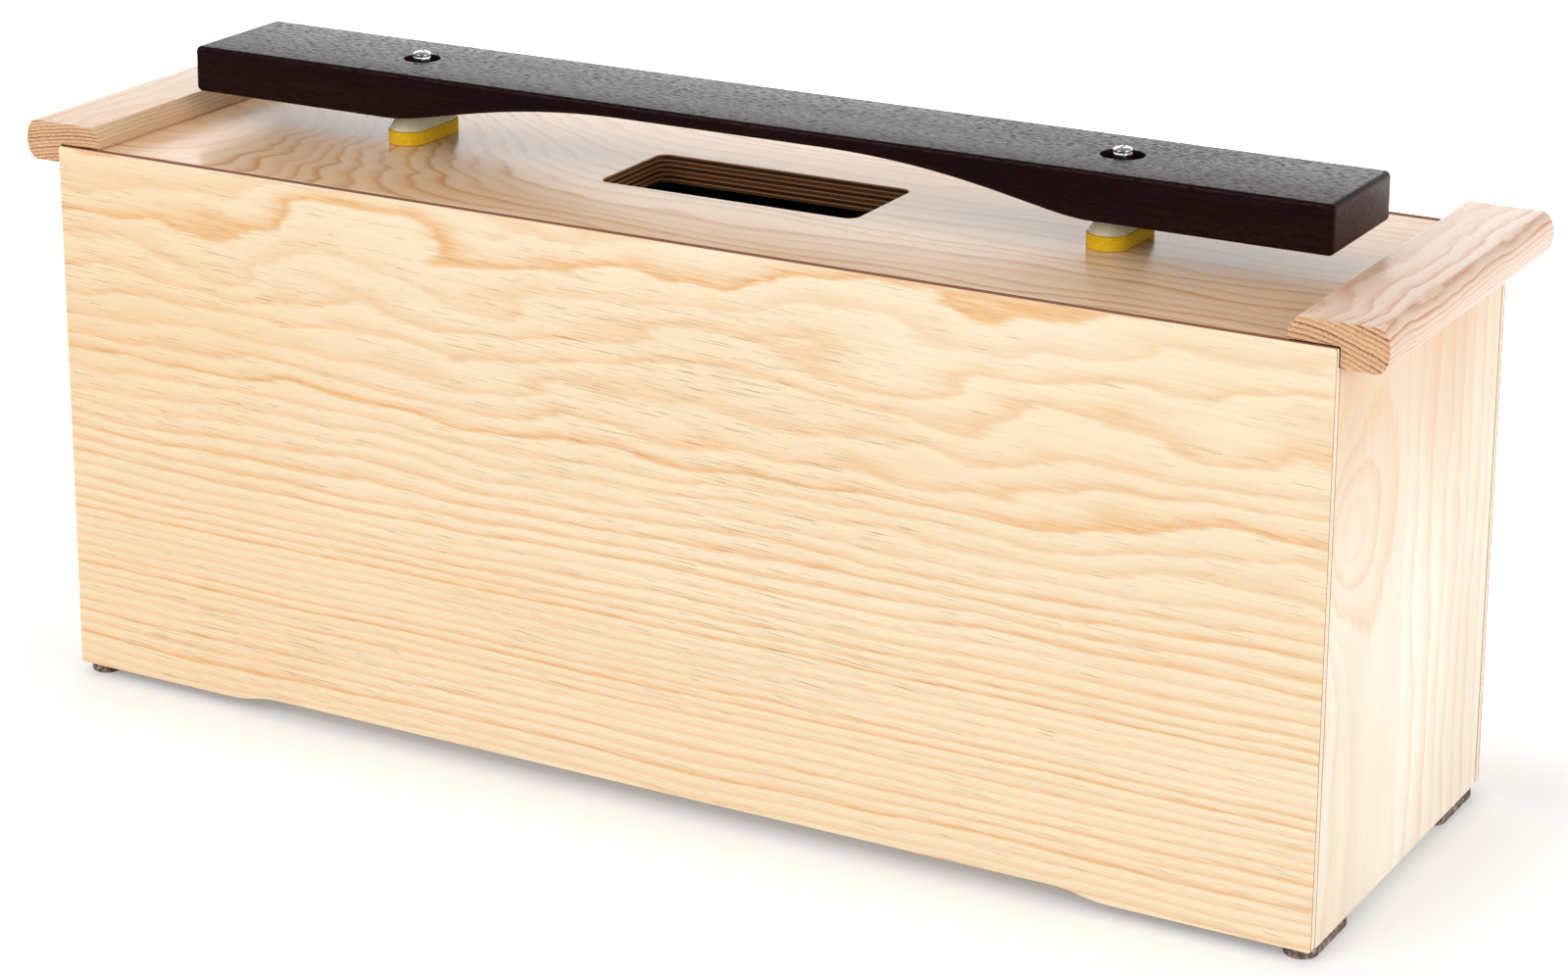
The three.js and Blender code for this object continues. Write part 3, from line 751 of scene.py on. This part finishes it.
# A piece that is smooth but for its sharp edges. It stands for the CAD node it is named after.
def finishPiece(mesh, name, body, material):
    facedOutward(mesh, finish["merging"])
    mesh.shade_smooth()
    mesh.set_sharp_from_angle(angle=math.radians(finish["sharpAngle"]))
    mesh.materials.clear()
    mesh.materials.append(material)
    piece = bpy.data.objects.new(name + "_dressed", mesh)
    scene.collection.objects.link(piece)
    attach(piece, body)
    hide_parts(name)
    return piece


# Front and rear panels, with the shallow relief along their lower edge.
facePanel = {
    "thickness": 5.0, "corner": 1.2, "ease": 0.15, "rim": 0.3,
    "reliefDepth": 3.3, "reliefFlat": 400.0, "reliefRamp": 32.0, "rampSteps": 16,
}


def addFacePanel(name, material):
    low, high = nodeBox(name)
    flat, depth, steps = facePanel["reliefFlat"] / 2, facePanel["reliefDepth"], facePanel["rampSteps"]
    foot = flat + facePanel["reliefRamp"]
    pull = facePanel["reliefRamp"] / 2
    outline = np.vstack((
        levelRamp(-foot, 0, pull, -flat, depth, pull, steps),
        levelRamp(flat, depth, pull, foot, 0, pull, steps),
        roundRectangle(low[0], 0, high[0], high[2] - low[2], facePanel["corner"]),
    ))
    rows = carried(heldEdges(outline), facePanel["thickness"], facePanel)[..., (0, 2, 1)]
    finishPiece(meshOf(name, rows + (0, low[1], low[2])), name, "box", material)


addFacePanel("front_panel", frontWood)
addFacePanel("rear_panel", rearWood)

# End panels between them.
endPanel = {"corner": 1.2, "ease": 0.15, "rim": 0.3}
for name, material in (("left_end_panel", leftEndWood), ("right_end_panel", rightEndWood)):
    low, high = nodeBox(name)
    outline = roundRectangle(low[1], low[2], high[1], high[2], endPanel["corner"])
    rows = carried(heldEdges(outline), high[0] - low[0], endPanel)[..., (2, 0, 1)]
    finishPiece(meshOf(name, rows + (low[0], 0, 0)), name, "box", material)

# Top board with the sound hole.
topBoard = {
    "holeLength": 132.0, "holeWidth": 57.0, "holeCorner": 5.5,
    "corner": 0.6, "cornerSteps": 12, "ease": 0.35, "rim": 0.4,
}


def addTopBoard():
    low, high = nodeBox("top_board")
    reachX, reachY, steps = topBoard["holeLength"] / 2, topBoard["holeWidth"] / 2, topBoard["cornerSteps"]
    hole = roundRectangle(-reachX, -reachY, reachX, reachY, topBoard["holeCorner"], steps)
    outline = roundRectangle(low[0], low[1], high[0], high[1], topBoard["corner"], steps)
    rows = carriedRing(hole, outline, high[2] - low[2], topBoard) + (0, 0, low[2])
    finishPiece(meshOf("top_board", rows, joined=True), "top_board", "box", topWood)


addTopBoard()
print("box ready")

# Handle rails: the section looks along y, x = 0 at the end face of the box and height 0 at its top.
handle = {
    "inner": 22.2, "outer": 21.1, "rise": 10.5, "drop": 8.8, "bevelRun": 4.0, "bevelDrop": 5.8,
    "nose": 5.6, "noseSteps": 28, "corner": 0.5, "gap": 0.05, "ease": 0.25, "rim": 0.2,
}


def addHandle(side, name, material):
    low, high = nodeBox(name)
    rise, drop, inner, gap = handle["rise"], handle["drop"], handle["inner"], handle["gap"]
    middle, reach = (rise - drop) / 2, (rise + drop) / 2
    nose = arc(handle["outer"] - handle["nose"], middle, handle["nose"], reach, -90, 90, handle["noseSteps"])
    start = np.array(((-inner, gap), (gap, gap), (gap, -drop)))
    bevel = np.array(((handle["bevelRun"] - inner, rise), (-inner, rise - handle["bevelDrop"])))
    section = heldEdges(softCorners(np.vstack((start, nose, bevel)), handle["corner"]), near=0.3)
    rows = carried(section, high[1] - low[1], handle)[..., (0, 2, 1)]
    rows = rows * (side, 1, 1) + (side * frontHi[0] / mm, low[1], frontHi[2] / mm)
    finishPiece(meshOf(name, rows), name, "box", material)


addHandle(-1, "left_handle", leftHandleWood)
addHandle(1, "right_handle", rightHandleWood)
print("handles ready")

# Felt feet.
foot = {"ease": 1.1, "rim": 0.4}
for name in ("front_left_foot", "front_right_foot", "rear_left_foot", "rear_right_foot"):
    low, high = nodeBox(name)
    middle = (low + high) / 2
    rows = carried(stadium(high[0] - low[0], high[1] - low[1]), high[2] - low[2], foot)
    mesh = meshOf(name, rows + (middle[0], middle[1], low[2]))
    piece = finishPiece(mesh, name, "box", footFelt)

# Tone bar: the hollowed outline in the xz plane is carried through its width, then holed over each post.
toneBar = {
    "thickness": 22.3, "endRound": 2.8, "ease": 1.9, "rim": 0.5, "sharpAngle": 24.0,
    "archDepth": 15.6, "archLength": 360.0, "archFlat": 100.0, "archSteps": 40,
    "rootPull": 22.0, "flatPull": 70.0,
    "postOffset": 181.0, "holeWidth": 17.4, "holeLength": 17.401, "slotLength": 19.8,
    "holeRim": 0.35, "rimBend": (0.25, 0.35), "drillBeyond": 2.0,
}


# What is cut out round a post: upright walls that widen over the rim, by way of a bend, and go on beyond
# the bar.
def drillRows(length):
    rim, top, beyond = toneBar["holeRim"], toneBar["thickness"], toneBar["drillBeyond"]
    out, down = toneBar["rimBend"]
    levels = np.array((-beyond, top - rim, top - down * rim, top, top + beyond))
    wider = np.array((0.0, 0.0, out, 1.0, 1.0)) * rim
    return stacked(stadium(toneBar["holeWidth"], length)[:, ::-1], wider, levels)


def addToneBar():
    low, high = nodeBox("tone_bar")
    root, flat, depth = toneBar["archLength"] / 2, toneBar["archFlat"] / 2, toneBar["archDepth"]
    rootPull, flatPull, steps = toneBar["rootPull"], toneBar["flatPull"], toneBar["archSteps"]
    outline = np.vstack((
        levelRamp(-root, 0, rootPull, -flat, depth, flatPull, steps),
        levelRamp(flat, depth, flatPull, root, 0, rootPull, steps),
        roundRectangle(low[0], 0, high[0], toneBar["thickness"], toneBar["endRound"]),
    ))
    rows = carried(heldEdges(outline), high[1] - low[1], toneBar)[..., (0, 2, 1)]
    mesh = meshOf("tone_bar", rows + (0, low[1], low[2]))
    blank = finishPiece(mesh, "tone_bar", "bar", toneWood)
    for side, length in ((-1, toneBar["holeLength"]), (1, toneBar["slotLength"])):
        mesh = meshOf("drill", drillRows(length) + (side * toneBar["postOffset"], 0, low[2]))
        facedOutward(mesh)
        drill = bpy.data.objects.new("drill", mesh)
        scene.collection.objects.link(drill)
        cut = blank.modifiers.new("hole", "BOOLEAN")
        cut.operation, cut.solver, cut.object = "DIFFERENCE", "EXACT", drill
        with bpy.context.temp_override(object=blank, active_object=blank):
            bpy.ops.object.modifier_apply(modifier=cut.name)
        bpy.data.objects.remove(drill)
    blank.data.set_sharp_from_angle(angle=math.radians(toneBar["sharpAngle"]))


addToneBar()
print("tone bar ready")

# Felt pads and bar rests round the posts.
pad = {"width": 19.6, "length": 44.0, "bore": 9.8, "ease": 0.6, "rim": 0.4}
rest = {"width": 18.2, "length": 42.4, "bore": 9.8, "lip": 0.5, "tuck": 0.15, "steps": 14}


# Bar rest: from the bore to the stadium foot, its height falls with the square of the distance from a ridge
# along y.
def restRows(height):
    half, lip, tuck = rest["width"] / 2, rest["lip"], rest["tuck"]
    ridge = rest["length"] / 2 - half
    outer = stadium(rest["width"], rest["length"])
    inner = stadium(rest["bore"], rest["bore"])
    share = np.sin(np.linspace(0, quarter, rest["steps"] + 1))[:, None, None]
    flat = inner + (outer - inner) * share
    away = np.hypot(flat[..., 0], np.maximum(np.abs(flat[..., 1]) - ridge, 0))
    rise = lip + (height - lip) * np.clip(1 - (away / half) ** 2, 0, 1)
    crown = np.concatenate((flat, rise[..., None]), -1)
    return np.concatenate((crown, stacked(outer, (0, tuck), (tuck, 0)), stacked(inner, (0,), (0,))))


# Hexagonal spacers, and pan head screws that run down through them.
spacer = {"flats": 8.0, "corner": 0.4, "ease": 0.5, "rim": 0.3}
screw = {
    "head": 8.5, "headRim": 1.3, "crown": 1.0, "domeSteps": 59, "middle": 0.02, "sides": 160,
    "edge": 0.4, "edgeTurn": 1.2, "edgeSteps": 5, "underEase": 0.2,
    "shank": 4.0, "length": 70.0, "tip": 0.05, "pointLength": 6.0, "pointShare": 0.72, "taperLength": 8.0,
    "recess": 1.5, "span": 4.8, "slot": 1.3, "wallShare": 0.22, "fullness": 1.25,
}


def spacerOutline():
    across = spacer["flats"] / math.sqrt(3)
    angle = np.radians(np.arange(0, 360, 60))
    return softCorners(np.column_stack((across * np.cos(angle), across * np.sin(angle))), spacer["corner"])


# Cross recess of a screw head: along each wing the depth falls evenly to its tip, and its sides are steep.
def crossDepth(x, y):
    def wing(along, aside):
        side = (screw["slot"] / 2 - np.abs(aside)) / (screw["wallShare"] * screw["slot"]) + 0.5
        return np.clip(1 - np.abs(along) / (screw["span"] / 2), 0, 1) * np.clip(side, 0, 1)
    return screw["recess"] * np.clip(screw["fullness"] * np.maximum(wing(x, y), wing(y, x)), 0, 1)


# Screw: a pointed stem, the head's underside and its rounded edge, and a dome whose height falls with the
# cube of the distance from the middle, all turned about z. The recess is then sunk into the dome.
def screwRows(seat):
    head, rim, edge, shank = screw["head"] / 2, screw["headRim"], screw["edge"], screw["shank"] / 2
    end = -screw["length"]
    stem = np.array(((screw["tip"], end), (shank * screw["pointShare"], end + screw["pointLength"]),
                     (shank, end + screw["taperLength"]), (shank, 0.0)))
    under = np.array(((head - screw["underEase"], 0.0), (head, screw["underEase"])))
    corner = arc(head - edge, rim - edge, edge, edge, 0, math.degrees(screw["edgeTurn"]), screw["edgeSteps"])
    shoulder, base = corner[-1]
    radius = np.linspace(shoulder, screw["middle"], screw["domeSteps"] + 1)
    dome = np.column_stack((radius, base + (rim + screw["crown"] - base) * (1 - (radius / shoulder) ** 3)))
    rows = turned(np.vstack((stem, under, corner, dome[1:])), screw["sides"])
    sunk = crossDepth(rows[..., 0], rows[..., 1])
    sunk[:len(stem) + len(under) + len(corner)] = 0
    rows[..., 2] -= sunk
    return rows + (0, 0, seat)


def addPost(side, name):
    x = side * toneBar["postOffset"]
    low, high = nodeBox(name + "_felt_pad")
    hole, outline = stadium(pad["bore"], pad["bore"]), stadium(pad["width"], pad["length"])
    mesh = meshOf("pad", carriedRing(hole, outline, high[2] - low[2], pad) + (x, 0, low[2]), joined=True)
    piece = finishPiece(mesh, name + "_felt_pad", "box", padFelt)
    low, high = nodeBox(name + "_bar_rest")
    mesh = meshOf("rest", restRows(high[2] - low[2]) + (x, 0, low[2]), joined=True)
    finishPiece(mesh, name + "_bar_rest", "box", restRubber)
    low, high = nodeBox(name + "_post_spacer")
    mesh = meshOf("spacer", carried(spacerOutline(), high[2] - low[2], spacer) + (x, 0, low[2]))
    finishPiece(mesh, name + "_post_spacer", "box", chrome)
    low = nodeBox(name + "_post_screw")[0]
    mesh = meshOf("screw", screwRows(low[2] + screw["length"]) + (x, 0, 0))
    finishPiece(mesh, name + "_post_screw", "box", chrome)


addPost(-1, "left")
addPost(1, "right")
print("posts ready")

# What stays out of sight keeps its CAD shape.
plain = {
    bottomWood: ("bottom_board",),
    innerWood: ("front_batten", "rear_batten", "left_batten", "right_batten",
                "left_post_block", "right_post_block"),
    dowelWood: tuple(f"{side}_dowel_{i}" for side in ("left", "right") for i in (1, 2, 3)),
}
for material, names in plain.items():
    for name in names:
        nodes[name].data.materials.clear()
        nodes[name].data.materials.append(material)

# Studio: a white room for what looks at it, softer light for what is lit by it, and lamps in front, to the
# right and behind.
studio = {
    "ambient": 0.55,
    "reflectedFront": 0.3,
    "frontRange": (-0.3, 0.35),
    "reflectedOverhead": 0.35,
    "overheadRange": (0.3, 0.7),
    "whiteFrom": (0.0, 0.22),
    "floorColour": "#EDEDED",
    "floorInFront": "#6A6A6A",
    "floorFrontRange": (-0.5, 0.1),
    "floorLift": 0.22,
    "floorRough": 0.9,
    "floorReach": 12.0,
    "lampAim": (0.0, 0.0, 0.13),
    "lamps": [
        {"name": "frontLamp", "place": (-1.1, -2.6, 2.0), "size": 2.2, "power": 42.0},
        {"name": "sideLamp", "place": (2.6, -0.7, 0.7), "size": 1.8, "power": 31.0},
        {"name": "backLamp", "place": (-1.3, 2.4, 1.15), "size": 2.6, "power": 26.0},
    ],
}


# What reflections see: white behind the part and near the horizon, dim in front of it and overhead.
def roomColour(tree, direction):
    depth, height = axisOf(tree, direction, 1), axisOf(tree, direction, 2)
    behind = between(tree, depth, *studio["frontRange"], studio["reflectedFront"], 1.0)
    low = between(tree, height, *studio["overheadRange"], 1.0, studio["reflectedOverhead"])
    grey = maths(tree, "MULTIPLY", behind, low)
    return put(tree, "CombineXYZ", {"X": grey, "Y": grey, "Z": grey}).outputs[0]


def addRoom():
    world = bpy.data.worlds.new("studio")
    scene.world = world
    world.use_nodes = True
    tree = world.node_tree
    tree.nodes.clear()
    path = put(tree, "LightPath").outputs
    direction = put(tree, "TexCoord").outputs["Generated"]
    light = put(tree, "Background", {"Color": "#FFFFFF", "Strength": studio["ambient"]}).outputs[0]
    white = put(tree, "Background", {"Color": "#FFFFFF", "Strength": 1.0}).outputs[0]
    room = put(tree, "Background", {"Color": roomColour(tree, direction), "Strength": 1.0}).outputs[0]
    seen = maths(tree, "MAXIMUM", path["Is Camera Ray"], path["Is Transmission Ray"])
    surface = put(tree, "MixShader", {0: seen, 1: light, 2: white}).outputs[0]
    surface = put(tree, "MixShader", {0: path["Is Glossy Ray"], 1: surface, 2: room}).outputs[0]
    put(tree, "OutputWorld", {"Surface": surface})


# The floor is white to the eye, but for the shadow close to the part, and reflects darker in front of it.
def floorMaterial():
    material, tree, shader, place = newMaterial("studio floor")
    path = put(tree, "LightPath").outputs
    ahead = between(tree, axisOf(tree, place["Object"], 1), *studio["floorFrontRange"], 1.0, 0.0)
    dim = maths(tree, "MULTIPLY", ahead, path["Is Glossy Ray"])
    colour = mixed(tree, dim, studio["floorColour"], studio["floorInFront"])
    fill(tree, shader, {"Base Color": colour, "Roughness": studio["floorRough"]})
    away = vectorMaths(tree, "SUBTRACT", vectorMaths(tree, "ABSOLUTE", place["Object"]), tuple(cadBox[1]))
    away = measured(tree, "LENGTH", vectorMaths(tree, "MAXIMUM", away, (0.0, 0.0, 0.0)))
    lift = between(tree, away, *studio["whiteFrom"], studio["floorLift"], 1.0)
    seen = maths(tree, "MAXIMUM", path["Is Camera Ray"], path["Is Transmission Ray"])
    seen = maths(tree, "MAXIMUM", seen, maths(tree, "SUBTRACT", path["Is Glossy Ray"], dim))
    glow = put(tree, "Emission", {"Strength": maths(tree, "MULTIPLY", seen, lift)}).outputs[0]
    both = put(tree, "AddShader", {0: shader.outputs[0], 1: glow}).outputs[0]
    fill(tree, tree.nodes["Material Output"], {"Surface": both})
    return material


def addFloor():
    reach = studio["floorReach"]
    corners = [(-reach, -reach, 0), (reach, -reach, 0), (reach, reach, 0), (-reach, reach, 0)]
    mesh = bpy.data.meshes.new("floor")
    mesh.from_pydata(corners, [], [(0, 1, 2, 3)])
    mesh.materials.append(floorMaterial())
    floor = bpy.data.objects.new("floor", mesh)
    scene.collection.objects.link(floor)


def addLamp(lamp):
    data = bpy.data.lights.new(lamp["name"], "AREA")
    data.size = lamp["size"]
    data.energy = lamp["power"]
    light = bpy.data.objects.new(lamp["name"], data)
    light.visible_camera = False
    aim = Vector(studio["lampAim"]) - Vector(lamp["place"])
    turn = aim.to_track_quat("-Z", "Y").to_matrix().to_4x4()
    light.matrix_world = Matrix.Translation(lamp["place"]) @ turn
    scene.collection.objects.link(light)


scene.view_settings.view_transform = "Standard"
addRoom()
addFloor()
for lamp in studio["lamps"]:
    addLamp(lamp)
print("studio ready")
